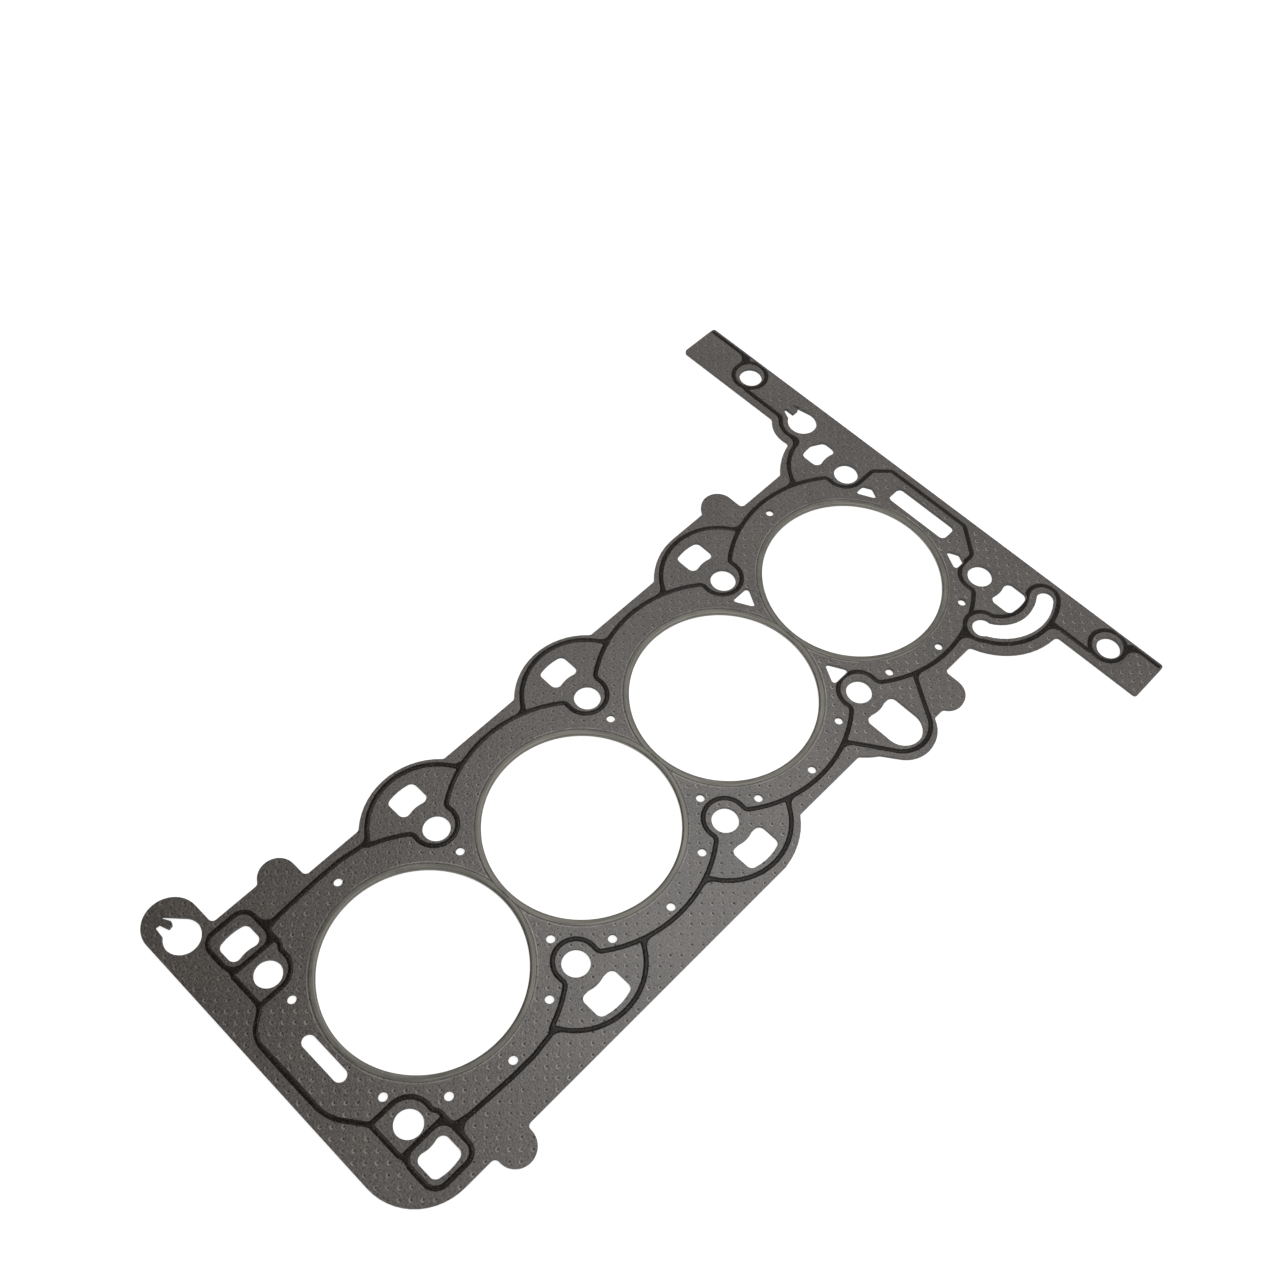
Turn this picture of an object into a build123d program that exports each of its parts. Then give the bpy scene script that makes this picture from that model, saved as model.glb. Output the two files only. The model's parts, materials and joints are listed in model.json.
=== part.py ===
from build123d import *
import os

# Cylinder head gasket of a four-cylinder engine: a die-cut composite sheet with a folded
# steel ring in each cylinder bore and a raised sealing bead printed on both faces.
# All lengths are in millimetres. X runs along the crank line towards the timing end,
# Y runs across the engine and Z points from the block up to the cylinder head.
# The origin is the middle of the head bolt pattern, on the plane of the block's deck.

# Cylinder bores, spaced by the width of the bridge between two of them
bore_count = 4
bore_radius = 41.0
bore_bridge = 4.0

# Head bolts, in two rows
bolt_hole_radius = 5.75
bolt_row_y = 40.2

# Sheet thicknesses
core_thickness = 0.3
facing_thickness = 0.65
sheet_thickness = core_thickness + 2 * facing_thickness

# Fire rings
ring_sheet = 0.25
ring_flange = 2.6
ring_proud = 0.15
ring_play = 0.1
bridge_gap = 0.2

# Edges of the sheet: the ends are measured out from the end bolts, the long edges from
# the bead's run round the cylinders
left_overhang = 25.4
right_overhang = 21.0
upper_margin = 5.6
lower_margin = 4.5
lobe_radius = 31.2
root_radius = 2.0
ear_radius = 8.0

# Left end, measured from the left bolts and from the edge of the deck
left_corner_radius = 24.8
left_deck_length = 35.7
lower_deck_x = 3.0
left_upper_ear_sink = 2.7
left_lower_ear_reach = 22.0
left_lower_ear_rise = 2.5

# Timing end, with ears measured from the bolts beside the tall window
arm_width = 21.4
arm_upper_y = 145.0
arm_lower_y = -127.4
arm_corner_radius = 1.5
right_upper_ear_reach = 27.8
right_upper_ear_sink = 2.5
right_lower_ear_reach = 26.9
right_lower_ear_sink = 3.6

# Dowel holes, each with a finger that grips the dowel
dowel_margin = 7.6
left_dowel_reach = 13.7
left_dowel_y = 75.2
left_dowel_radius = 7.6
left_boss_radius = 11.6
left_boss_y = 81.8
right_dowel_reach = 8.3
right_dowel_y = 75.0
right_dowel_radius = 7.0
slit_radius = 0.35
left_notch = [(-5.4, 4.8), (-5.0, 10.4), (-3.9, 10.0), (-1.0, 12.4), (6.0, 4.6)]
left_finger = [(-4.6, 13.6), (-1.8, 5.9), (0.2, 6.4), (0.9, 8.0), (-2.2, 13.6)]
right_notch = [(-3.4, 5.6), (-0.9, 11.2), (0.3, 11.2), (5.0, 9.6), (6.9, 1.0)]
right_finger = [(0.7, 12.0), (0.7, 6.5), (4.3, 6.5), (4.3, 12.0)]

# Arm bolts
arm_bolt_inset = 9.8
arm_bolt_upper_y = 111.2
arm_bolt_lower_y = -104.4
arm_bolt_radius = 5.5

# Oil windows beside the bolts: radii from the bolt, and margins in from the lobe's edge
window_width = 14.0
wide_window_width = 17.5
window_margin = 7.6
end_window_margin = 8.3
window_corner = 2.8
upper_window_inner = 12.7
lower_window_inner = 11.7
window_step = 0.7
window_bevel = [(-0.4, 23.7), (8.0, 19.1), (8.0, 23.7)]

# The tall window, and the straight neck of sheet beside its rounded end
tall_window_end_y = -64.8
tall_window_margin = 6.15
tall_neck = [(-17.5, -1.0), (-12.7, -7.8), (0.0, -1.2)]

# Coolant holes round each bore, spaced out from the flange of its fire ring
coolant_radius = 1.85
coolant_gap = 6.7
coolant_step = 30.9

# Three-cornered coolant holes beside the last cylinder, drawn from the tip next to the ring
corner_radius = 1.3
corner_gap = 3.8
corner_hole = [(0.0, 0.0), (5.6, 10.2), (-5.6, 10.2)]
end_corner_hole = [(-0.4, 0.0), (2.6, 6.2), (0.5, 10.2), (-5.6, 10.2)]

# Kidney slot, placed from the lower timing-end bolt
kidney_step = (-0.2, -9.8)
kidney_radius = 22.3
kidney_width = 8.0
kidney_start = 201.0
kidney_sweep = 101.0
kidney_end_radius = 4.7
kidney_margin = 8.0

# Slots beside the end cylinders, measured out from the end bolts
left_slot_reach = 5.9
left_slot_y = 0.2
left_slot_length = 23.6
left_slot_width = 5.6
right_slot_reach = 8.0
right_slot_y = 0.8
right_slot_length = 33.2
right_slot_width = 9.2
right_slot_corner = 2.4

# Sealing bead, printed on both faces. Its centreline is laid out evenly about the bolts,
# and the whole print lies a little off, by bead_shift.
bead_width = 2.1
bead_height = 0.12
bead_shift = (0.5, 1.0)
bead_run_gap = 12.1
bead_loop_step = 0.5
bead_loop_gap = 3.45
bead_eye_margin = 3.9
bead_fillet = 3.0
bead_outer_fillet = 4.4
bead_corner = 1.5
bead_hole_gap = 0.3
bead_edge_gap = 0.8

# Bead at the left end: the run, the flatter stretch beside the first cylinder given by
# points along X and depths inside the run, and the cells round the end bolts and windows
bead_left_margin = 5.5
bead_left_upper_y = 23.5
bead_left_lower_y = -18.5
bead_flat_run = [(17.0, 1.5), (6.0, 0.0), (-6.0, 0.0), (-26.0, 1.0)]
bead_flat_root = 20.0
bead_flat_drop = 2.5
bead_cell_half = 10.45
bead_cell_root = 3.0
bead_cell_overlap = 1.0
bead_cell_margin = 4.6
bead_cell_corner = 5.5
bead_bar_reach = 8.3

# Bead round the tall window
bead_tall_margin = 5.05
bead_tall_step = 1.8
bead_tall_root = 14.2
bead_tall_half = 28.2
bead_tall_shoulder = 5.0
bead_tall_neck = 11.4
bead_tall_drop = 7.6

# Bead at the timing end
bead_right_margin = 4.6
bead_right_upper_y = 25.0
bead_right_lower_y = -19.0
bead_upper_bevel_reach = 9.8
bead_lower_bevel_reach = 6.0
bead_kidney_step = (-1.1, -1.0)
bead_kidney_inset = 0.9
bead_kidney_margin = 3.15
bead_kidney_end_gap = 2.9
bead_kidney_turn = 1.0
bead_branch_margin = 7.6
bead_branch_step = 3.8
bead_branch_reach = 2.9
bead_dowel_gap = 3.5
bead_ring_gap = 2.6
bead_ring_overlap = 0.01
bead_end_margin = 2.1
bead_timing_fillet = 2.6
bead_timing_corner = 1.0

# Places worked out from the driving dimensions
bore_pitch = 2 * bore_radius + bore_bridge
bolt_columns = [bore_pitch * (i - bore_count / 2) for i in range(bore_count + 1)]
bore_centres = [bore_pitch * (i - (bore_count - 1) / 2) for i in range(bore_count)]
inner_columns = bolt_columns[1:-1]
left_column = bolt_columns[0]
tall_column = bolt_columns[-2]
right_column = bolt_columns[-1]
left_bore = bore_centres[0]
flange_radius = bore_radius + ring_flange
bead_run_radius = flange_radius + bead_run_gap

# Edges, decks and ears
left_edge_x = left_column - left_overhang
right_edge_x = right_column + right_overhang
upper_edge_y = bead_run_radius + upper_margin
lower_edge_y = -bead_run_radius - lower_margin
upper_deck_y = bolt_row_y + lobe_radius
lower_deck_y = -upper_deck_y
left_deck_x = left_column + left_deck_length
left_ear_x = left_deck_x - ear_radius
left_upper_ear_y = upper_deck_y - left_upper_ear_sink
left_lower_ear_x = left_column + left_lower_ear_reach
left_lower_ear_y = lower_deck_y - left_lower_ear_rise
right_upper_ear_x = tall_column + right_upper_ear_reach
right_upper_ear_y = upper_deck_y - right_upper_ear_sink
right_lower_ear_x = tall_column + right_lower_ear_reach
right_lower_ear_y = lower_deck_y + right_lower_ear_sink

# Holes
left_dowel_x = left_column - left_dowel_reach
right_dowel_x = right_column + right_dowel_reach
arm_bolt_x = right_edge_x - arm_bolt_inset
window_outer = lobe_radius - window_margin
end_window_outer = lobe_radius - end_window_margin
tall_window_radius = wide_window_width / 2
tall_window_middle_y = -bolt_row_y - (lower_window_inner + window_outer) / 2
coolant_circle = flange_radius + coolant_gap
coolant_bridge_y = (coolant_circle**2 - (bore_pitch / 2) ** 2) ** 0.5
corner_tip_y = ((flange_radius + corner_gap) ** 2 - (bore_pitch / 2) ** 2) ** 0.5
kidney_x = right_column + kidney_step[0]
kidney_y = -bolt_row_y + kidney_step[1]

# Bead
bead_loop_y = bolt_row_y + bead_loop_step
bead_loop_radius = bolt_hole_radius + bead_loop_gap
loop_inner_y = bead_loop_y - bead_loop_radius
bead_eye_radius = lobe_radius - bead_eye_margin
bead_left_x = left_edge_x + bead_left_margin
bead_cell_left_x = left_column - bead_cell_half
bead_cell_right_x = left_column + bead_cell_half
bead_bar_y = bolt_row_y + bead_bar_reach
bead_cell_y = upper_deck_y - bead_cell_margin
bead_tall_y = tall_window_end_y + bead_tall_step
bead_tall_radius = tall_window_radius + bead_tall_margin
bead_right_x = right_edge_x - bead_right_margin
bead_upper_bevel_x = right_column + bead_upper_bevel_reach
bead_lower_bevel_x = right_column + bead_lower_bevel_reach
bead_kidney_x = kidney_x + bead_kidney_step[0]
bead_kidney_y = kidney_y + bead_kidney_step[1]
bead_kidney_radius = kidney_radius - bead_kidney_inset
bead_ring_radius = arm_bolt_radius + bead_ring_gap


def block(x_low, x_high, y_low, y_high, mode=Mode.ADD):
    """Adds a rectangle given by its edges."""
    with Locations(((x_low + x_high) / 2, (y_low + y_high) / 2)):
        Rectangle(x_high - x_low, y_high - y_low, mode=mode)


def disc(x, y, radius, mode=Mode.ADD):
    """Adds a disc given by its centre and radius."""
    with Locations((x, y)):
        Circle(radius, mode=mode)


def patch(*points, mode=Mode.ADD):
    """Adds a patch with straight sides."""
    Polygon(*points, align=None, mode=mode)


def soften(region, inner_radius, outer_radius):
    """Rounds a region's inner corners, then its outer corners, by growing and shrinking it."""
    with BuildSketch() as softened:
        add(region)
        for amount in (inner_radius, -inner_radius - outer_radius, outer_radius):
            if amount != 0:
                offset(amount=amount)
    return softened.sketch


# Outline of the sheet
with BuildSketch() as plan:
    block(left_edge_x, right_edge_x, 0, upper_edge_y)
    block(left_edge_x + left_corner_radius, right_edge_x, lower_edge_y, 0)
    # Left end: a deeper deck, an ear on each side and the boss of the dowel
    block(left_edge_x, left_ear_x, 0, upper_deck_y)
    block(left_ear_x, left_deck_x, 0, left_upper_ear_y)
    disc(left_ear_x, left_upper_ear_y, ear_radius)
    block(left_edge_x, left_edge_x + 2 * left_boss_radius, 0, left_boss_y)
    disc(left_edge_x + left_boss_radius, left_boss_y, left_boss_radius)
    block(left_edge_x + left_corner_radius, lower_deck_x, lower_deck_y, 0)
    block(left_edge_x, left_edge_x + left_corner_radius, lower_deck_y + left_corner_radius, 0)
    disc(left_edge_x + left_corner_radius, lower_deck_y + left_corner_radius, left_corner_radius)
    disc(left_lower_ear_x, left_lower_ear_y, ear_radius)
    # A lobe round each bolt between two cylinders, and round the upper bolt at the timing end
    for column in inner_columns:
        disc(column, bolt_row_y, lobe_radius)
        disc(column, -bolt_row_y, lobe_radius)
    disc(right_column, bolt_row_y, lobe_radius)
    # Timing end: an ear on each side, and lobes round the tall window, the dowel and the kidney
    block(tall_column, right_upper_ear_x, 0, upper_deck_y)
    block(right_upper_ear_x, right_upper_ear_x + ear_radius, 0, right_upper_ear_y)
    disc(right_upper_ear_x, right_upper_ear_y, ear_radius)
    block(tall_column, right_lower_ear_x, lower_deck_y, 0)
    block(right_lower_ear_x, right_lower_ear_x + ear_radius, right_lower_ear_y, 0)
    disc(right_lower_ear_x, right_lower_ear_y, ear_radius)
    disc(tall_column, tall_window_end_y, tall_window_radius + tall_window_margin)
    with Locations((tall_column, tall_window_end_y)):
        patch(*tall_neck)
    disc(right_dowel_x, right_dowel_y, right_dowel_radius + dowel_margin)
    disc(kidney_x, kidney_y, kidney_radius + kidney_width / 2 + kidney_margin)
    # Nothing passes the right edge, which the two arms carry on
    block(right_edge_x, right_edge_x + 2 * lobe_radius, arm_lower_y, arm_upper_y, Mode.SUBTRACT)
    with Locations((right_edge_x - arm_width / 2, (arm_upper_y + arm_lower_y) / 2)):
        RectangleRounded(arm_width, arm_upper_y - arm_lower_y, arm_corner_radius)

outline = soften(plan.sketch, root_radius, 0)


def window(column, side, width, inner_radius, outer_radius):
    """One oil window: its near edge bulges round the bolt, and its far edge bends with it."""
    near = side * (bolt_row_y + inner_radius - window_step)
    far = side * (bolt_row_y + outer_radius)
    with BuildSketch() as opening:
        block(column - width / 2, column + width / 2, min(near, far), max(near, far))
        disc(column, side * bolt_row_y, outer_radius, Mode.INTERSECT)
        disc(column, side * bolt_row_y, inner_radius, Mode.SUBTRACT)
    return soften(opening.sketch, 0, window_corner)


def cornered(column, side, points):
    """A hole with straight sides and rounded corners, drawn from its tip next to the ring."""
    with BuildSketch() as opening:
        patch(*[(column + x, side * (corner_tip_y + y)) for x, y in points])
    return soften(opening.sketch, 0, corner_radius)


def gripped(x, y, radius, notch, finger):
    """A dowel hole with a notch at its top, from which a finger of sheet reaches back in."""
    with BuildSketch() as opening:
        disc(x, y, radius)
        with Locations((x, y)):
            patch(*notch)
            patch(*finger, mode=Mode.SUBTRACT)
    return soften(opening.sketch, slit_radius, slit_radius)


# The upper oil window at the timing end has one corner cut off
with BuildSketch() as bevelled:
    add(window(right_column, 1, window_width, upper_window_inner, end_window_outer))
    with Locations((right_column, bolt_row_y)):
        patch(*window_bevel, mode=Mode.SUBTRACT)
bevelled_window = soften(bevelled.sketch, 0, window_corner)

# Every hole that the die cuts through the sheet, apart from the cylinder bores
with BuildSketch() as punched:
    for column in bolt_columns:
        disc(column, bolt_row_y, bolt_hole_radius)
        disc(column, -bolt_row_y, bolt_hole_radius)
    disc(arm_bolt_x, arm_bolt_upper_y, arm_bolt_radius)
    disc(arm_bolt_x, arm_bolt_lower_y, arm_bolt_radius)
    # Oil windows
    for column in inner_columns:
        add(window(column, 1, window_width, upper_window_inner, window_outer))
        add(window(column, -1, wide_window_width, lower_window_inner, window_outer))
    for column in (left_column, right_column):
        add(window(column, -1, window_width, lower_window_inner, end_window_outer))
    add(window(left_column, 1, window_width, upper_window_inner, end_window_outer))
    add(bevelled_window)
    disc(tall_column, tall_window_end_y, tall_window_radius)
    tall_left = tall_column - tall_window_radius
    tall_right = tall_column + tall_window_radius
    block(tall_left, tall_right, tall_window_end_y, tall_window_middle_y)
    # Coolant slots beside the end cylinders, and the kidney
    with Locations((left_column - left_slot_reach, left_slot_y)):
        SlotOverall(left_slot_length, left_slot_width, rotation=90)
    with Locations((right_column + right_slot_reach, right_slot_y)):
        RectangleRounded(right_slot_width, right_slot_length, right_slot_corner)
    kidney_line = CenterArc((kidney_x, kidney_y), kidney_radius, kidney_start, kidney_sweep)
    SlotArc(kidney_line, kidney_width)
    with Locations(kidney_line @ 0):
        Circle(kidney_end_radius)
    # Coolant holes: three below each cylinder, one above each end one, two between cylinders
    for x in bore_centres:
        with Locations((x, 0)):
            first = -90 - coolant_step
            with PolarLocations(coolant_circle, 3, first, 2 * coolant_step, endpoint=True):
                Circle(coolant_radius)
    for x in (bore_centres[0], bore_centres[-1]):
        disc(x, coolant_circle, coolant_radius)
    for column in bolt_columns[:-2]:
        disc(column, coolant_bridge_y, coolant_radius)
        disc(column, -coolant_bridge_y, coolant_radius)
    # Three-cornered coolant holes on both sides of the last cylinder
    for side in (1, -1):
        add(cornered(tall_column, side, corner_hole))
        add(cornered(right_column, side, end_corner_hole))
    add(gripped(left_dowel_x, left_dowel_y, left_dowel_radius, left_notch, left_finger))
    add(gripped(right_dowel_x, right_dowel_y, right_dowel_radius, right_notch, right_finger))
holes = punched.sketch


# The cell round the kidney slot
with BuildSketch() as kidney_area:
    cell_start = kidney_start - bead_kidney_turn
    cell_sweep = kidney_sweep + 2 * bead_kidney_turn
    cell_line = CenterArc((bead_kidney_x, bead_kidney_y), bead_kidney_radius, cell_start, cell_sweep)
    SlotArc(cell_line, kidney_width + 2 * bead_kidney_margin)
    with Locations(cell_line @ 0):
        Circle(kidney_end_radius + bead_kidney_end_gap)
kidney_cell = kidney_area.sketch


def cell(region, inner_radius=0, outer_radius=bead_corner):
    """One cell of the bead: a region less the cells that were there before it."""
    with BuildSketch() as area:
        add(region)
        for earlier in bead_cells:
            add(earlier, mode=Mode.SUBTRACT)
    bead_cells.append(soften(area.sketch, inner_radius, outer_radius))


def band(x_low, x_high, side, near, far, mode=Mode.ADD):
    """Adds a rectangle on one side of the crank line, given by its distances from that line."""
    block(x_low, x_high, min(side * near, side * far), max(side * near, side * far), mode)


# The bead's centreline follows the edges of a set of cells. The first holds all the coolant.
bead_cells = []
with BuildSketch() as coolant_area:
    for x in bore_centres:
        disc(x, 0, bead_run_radius)
    # Ends of the coolant cell, with bevelled corners
    patch(
        (bead_left_x, bead_left_upper_y),
        (bead_left_x, bead_left_lower_y),
        (bead_cell_left_x, -loop_inner_y),
        (bead_lower_bevel_x, -loop_inner_y),
        (bead_right_x, bead_right_lower_y),
        (bead_right_x, bead_right_upper_y),
        (bead_upper_bevel_x, loop_inner_y),
        (bead_cell_left_x, loop_inner_y),
    )
    for side in (1, -1):
        # Beside the first cylinder the run is flatter than its circle
        patch(
            (left_bore, 0),
            (left_bore + bead_flat_root, side * bead_loop_y),
            *[(left_bore + x, side * (bead_run_radius - drop)) for x, drop in bead_flat_run],
            (bead_cell_right_x, side * (bead_run_radius - bead_flat_drop)),
            (bead_cell_right_x, side * bead_loop_y),
        )
        for column in bolt_columns:
            disc(column, side * bead_loop_y, bead_loop_radius, Mode.SUBTRACT)
        band(left_edge_x, left_column, side, loop_inner_y, upper_deck_y, Mode.SUBTRACT)
        band(right_column, right_edge_x, side, loop_inner_y, upper_deck_y, Mode.SUBTRACT)
        cell_root_y = bead_loop_y + bead_cell_root
        band(left_edge_x, bead_cell_right_x, side, cell_root_y, upper_deck_y, Mode.SUBTRACT)
    add(kidney_cell, mode=Mode.SUBTRACT)
cell(coolant_area.sketch, bead_fillet, bead_fillet)
cell(kidney_cell)

# An eye round each window between two cylinders
for column in inner_columns:
    for side in (1, -1):
        with BuildSketch() as eye:
            if side < 0 and column == tall_column:
                disc(column, -bead_loop_y, bead_tall_root)
                disc(column, bead_tall_y, bead_tall_radius)
                patch(
                    (column - bead_tall_half, -bead_loop_y - bead_tall_shoulder),
                    (column - bead_tall_neck, bead_tall_y - bead_tall_drop),
                    (column + bead_tall_neck, bead_tall_y - bead_tall_drop),
                    (column + bead_tall_half, -bead_loop_y - bead_tall_shoulder),
                )
            else:
                disc(column, side * bead_loop_y, bead_eye_radius)
        cell(eye.sketch)

# At the left end a cell round each window, and one round each bolt
for side in (1, -1):
    with BuildSketch() as window_area:
        band(bead_cell_left_x, bead_cell_right_x, side, bead_bar_y, bead_cell_y)
    cell(window_area.sketch, 0, bead_cell_corner)
    with BuildSketch() as bolt_area:
        bolt_cell_y = loop_inner_y - bead_cell_overlap
        band(bead_cell_left_x, bead_cell_right_x, side, bolt_cell_y, bead_bar_y)
    cell(bolt_area.sketch)

# At the timing end a ring round each arm bolt, and one open cell for all the rest
for y in (arm_bolt_upper_y, arm_bolt_lower_y):
    with BuildSketch() as ring_area:
        disc(arm_bolt_x, y, bead_ring_radius)
    cell(ring_area.sketch, 0, 0)
with BuildSketch() as timing_area:
    # The branch and the dowel's ring lie about their holes once the print is shifted
    branch_y = bolt_row_y + bead_branch_step
    disc(right_column - bead_shift[0], branch_y, lobe_radius - bead_branch_margin)
    dowel_ring = right_dowel_radius + bead_dowel_gap
    disc(right_dowel_x - bead_shift[0], right_dowel_y - bead_shift[1], dowel_ring)
    disc(bead_kidney_x, bead_kidney_y, bead_kidney_radius)
    for y in (arm_bolt_upper_y, arm_bolt_lower_y):
        disc(arm_bolt_x, y, bead_ring_radius + bead_ring_overlap)
    branch_x = right_column + bead_branch_reach
    block(branch_x, 2 * right_edge_x, arm_bolt_lower_y, arm_bolt_upper_y)
    end_x = right_edge_x - bead_end_margin
    block(end_x, 2 * right_edge_x, 2 * arm_lower_y, 2 * arm_upper_y)
cell(timing_area.sketch, bead_timing_fillet, bead_timing_corner)

# The bead covers the edges of the cells, short of the holes and of the sheet's edge
with BuildSketch() as wide:
    for each in bead_cells:
        add(offset(each, bead_width / 2, mode=Mode.PRIVATE))
with BuildSketch() as bead_area:
    add(soften(wide.sketch, bead_outer_fillet, 0))
    for each in bead_cells:
        add(offset(each, -bead_width / 2, mode=Mode.PRIVATE), mode=Mode.SUBTRACT)
with BuildSketch() as bead_print:
    add(bead_area.sketch.moved(Location(bead_shift + (0,))))
    add(offset(outline, -bead_edge_gap, mode=Mode.PRIVATE), mode=Mode.INTERSECT)
    add(offset(holes, bead_hole_gap, mode=Mode.PRIVATE), mode=Mode.SUBTRACT)
bead_plan = bead_print.sketch

os.makedirs("parts", exist_ok=True)
sheet_bottom = ring_proud
sheet_top = sheet_bottom + sheet_thickness
ring_height = sheet_thickness + 2 * ring_proud
meeting_reach = (bore_pitch - bridge_gap) / 2

# The sheet: a steel core with a facing bonded to each side, die-cut as one plate
with BuildPart() as gasket_sheet:
    with BuildSketch(Plane.XY.offset(sheet_bottom)):
        add(outline)
        add(holes, mode=Mode.SUBTRACT)
        with Locations([(x, 0) for x in bore_centres]):
            Circle(bore_radius + ring_sheet + ring_play, mode=Mode.SUBTRACT)
    extrude(amount=sheet_thickness)
    # Each face is pressed down where the flanges of the fire rings lie
    for level, outward in ((ring_sheet, -1), (ring_height - ring_sheet, 1)):
        with BuildSketch(Plane.XY.offset(level)):
            with Locations([(x, 0) for x in bore_centres]):
                Circle(flange_radius + ring_play)
        extrude(amount=outward * sheet_thickness, mode=Mode.SUBTRACT)
gasket_sheet.part.label = "gasket_sheet"
export_step(gasket_sheet.part, "parts/gasket_sheet.step")

# One fire ring in each bore: thin steel folded over both faces of the sheet
for number, x in enumerate(bore_centres, start=1):
    with BuildPart() as fire_ring:
        with BuildSketch(Plane.XY):
            with Locations((x, 0)):
                Circle(flange_radius)
        extrude(amount=ring_height)
        # Next to another bore the flanges meet over the middle of the bridge
        with BuildSketch(Plane.XY):
            left_reach = meeting_reach if number > 1 else bore_pitch
            right_reach = meeting_reach if number < bore_count else bore_pitch
            block(x - left_reach, x + right_reach, -bore_pitch, bore_pitch)
        extrude(amount=ring_height, mode=Mode.INTERSECT)
        with BuildSketch(Plane.XY.offset(ring_sheet)):
            with Locations((x, 0)):
                Circle(bore_pitch)
                Circle(bore_radius + ring_sheet, mode=Mode.SUBTRACT)
        extrude(amount=ring_height - 2 * ring_sheet, mode=Mode.SUBTRACT)
        with Locations((x, 0, 0)):
            Hole(bore_radius)
    fire_ring.part.label = f"fire_ring_{number}"
    export_step(fire_ring.part, f"parts/fire_ring_{number}.step")

# The sealing bead on the head side, and the same print on the deck side
for side_name, bead_bottom in (("head", sheet_top), ("deck", sheet_bottom - bead_height)):
    with BuildPart() as sealing_bead:
        with BuildSketch(Plane.XY.offset(bead_bottom)):
            add(bead_plan)
        extrude(amount=bead_height)
    sealing_bead.part.label = f"sealing_bead_{side_name}_side"
    export_step(sealing_bead.part, f"parts/sealing_bead_{side_name}_side.step")
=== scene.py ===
# %% [markdown]
# # A cylinder head gasket
# The real object is a thin sandwich: a perforated steel core with a graphite and fibre
# facing rolled on each side, four folded steel fire rings round the cylinders, and a
# printed silicone bead on each face. This lesson loads the solid model of it as a fixed
# frame, lights it plainly, and gives each piece the finish that the real one has.
# All lengths in Blender are in metres; the values below are written in millimetres.

# %% Load the frame
import bpy
import bmesh
import json
import math
import random
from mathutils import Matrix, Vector
from mathutils.bvhtree import BVHTree


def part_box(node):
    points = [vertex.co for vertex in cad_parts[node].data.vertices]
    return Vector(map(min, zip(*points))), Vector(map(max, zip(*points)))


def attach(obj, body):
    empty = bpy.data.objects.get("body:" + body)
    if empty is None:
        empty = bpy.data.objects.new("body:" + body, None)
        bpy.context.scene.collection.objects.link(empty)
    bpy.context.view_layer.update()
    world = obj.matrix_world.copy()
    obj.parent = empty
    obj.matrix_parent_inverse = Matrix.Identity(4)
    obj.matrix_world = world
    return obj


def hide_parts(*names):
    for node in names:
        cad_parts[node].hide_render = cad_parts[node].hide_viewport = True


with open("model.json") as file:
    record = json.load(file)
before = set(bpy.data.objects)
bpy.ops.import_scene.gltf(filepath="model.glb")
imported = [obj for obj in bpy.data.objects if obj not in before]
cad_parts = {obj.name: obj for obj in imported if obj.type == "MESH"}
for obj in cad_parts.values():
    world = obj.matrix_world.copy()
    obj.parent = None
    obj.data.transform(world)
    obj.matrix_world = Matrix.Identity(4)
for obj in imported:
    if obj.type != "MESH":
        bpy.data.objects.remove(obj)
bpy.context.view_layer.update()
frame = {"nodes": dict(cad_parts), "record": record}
nodes = frame["nodes"]
print("pieces:", sorted(nodes))

# %% [markdown]
# A scene needs a camera before anything can be judged. The photograph was taken from above
# the lower left corner. Its place and turn were worked out from the five pairs of bolt
# holes, which lie on a known grid, so they are written here as plain numbers. The small
# lens shift keeps the horizon of the photograph, which was cropped a little high.

# %% Camera
MM = 0.001
PICTURE_PX = 1280
FOCAL_PX = 1314.7
CENTRE_PX = (650.0, 768.0)
CAMERA_MM = (-193.157, -151.595, 494.789)
CAMERA_TURN_DEG = (25.866, -2.682, -45.982)
SENSOR_MM = 36.0
NEAREST_MM = 10.0

camera_data = bpy.data.cameras.new("camera")
camera_data.sensor_width = SENSOR_MM
camera_data.lens = SENSOR_MM * FOCAL_PX / PICTURE_PX
camera_data.shift_x = (PICTURE_PX / 2 - CENTRE_PX[0]) / PICTURE_PX
camera_data.shift_y = (CENTRE_PX[1] - PICTURE_PX / 2) / PICTURE_PX
camera_data.clip_start = NEAREST_MM * MM
camera = bpy.data.objects.new("camera", camera_data)
camera.location = [value * MM for value in CAMERA_MM]
camera.rotation_euler = [math.radians(value) for value in CAMERA_TURN_DEG]
bpy.context.scene.collection.objects.link(camera)
bpy.context.scene.camera = camera
bpy.context.scene.view_settings.view_transform = "Standard"
print("lens", round(camera_data.lens, 2), "mm, shift", camera_data.shift_x, camera_data.shift_y)

# %% [markdown]
# Every finish below is made of nodes, so one small helper adds a node, sets it up and
# links its inputs. Colours are easier to read as the hex values of a screen colour, but
# the renderer works in linear light, so one function turns the one into the other. A new
# material comes with nodes of its own, so a third one starts a material without any.

# %% Three helpers for finishes
def add(tree, kind, inputs=None, **settings):
    """Adds one node, sets its settings, and fills or links its inputs."""
    made = tree.nodes.new("ShaderNode" + kind)
    for name, value in settings.items():
        setattr(made, name, value)
    for name, value in (inputs or {}).items():
        if isinstance(value, bpy.types.NodeSocket):
            tree.links.new(value, made.inputs[name])
        else:
            made.inputs[name].default_value = value
    return made


def linear(hex_colour):
    """Turns an sRGB hex colour such as 45403C into linear red, green, blue, alpha."""
    channels = [int(hex_colour[i:i + 2], 16) / 255 for i in (0, 2, 4)]
    turned = [c / 12.92 if c <= 0.04045 else ((c + 0.055) / 1.055) ** 2.4 for c in channels]
    return (*turned, 1.0)


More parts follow.
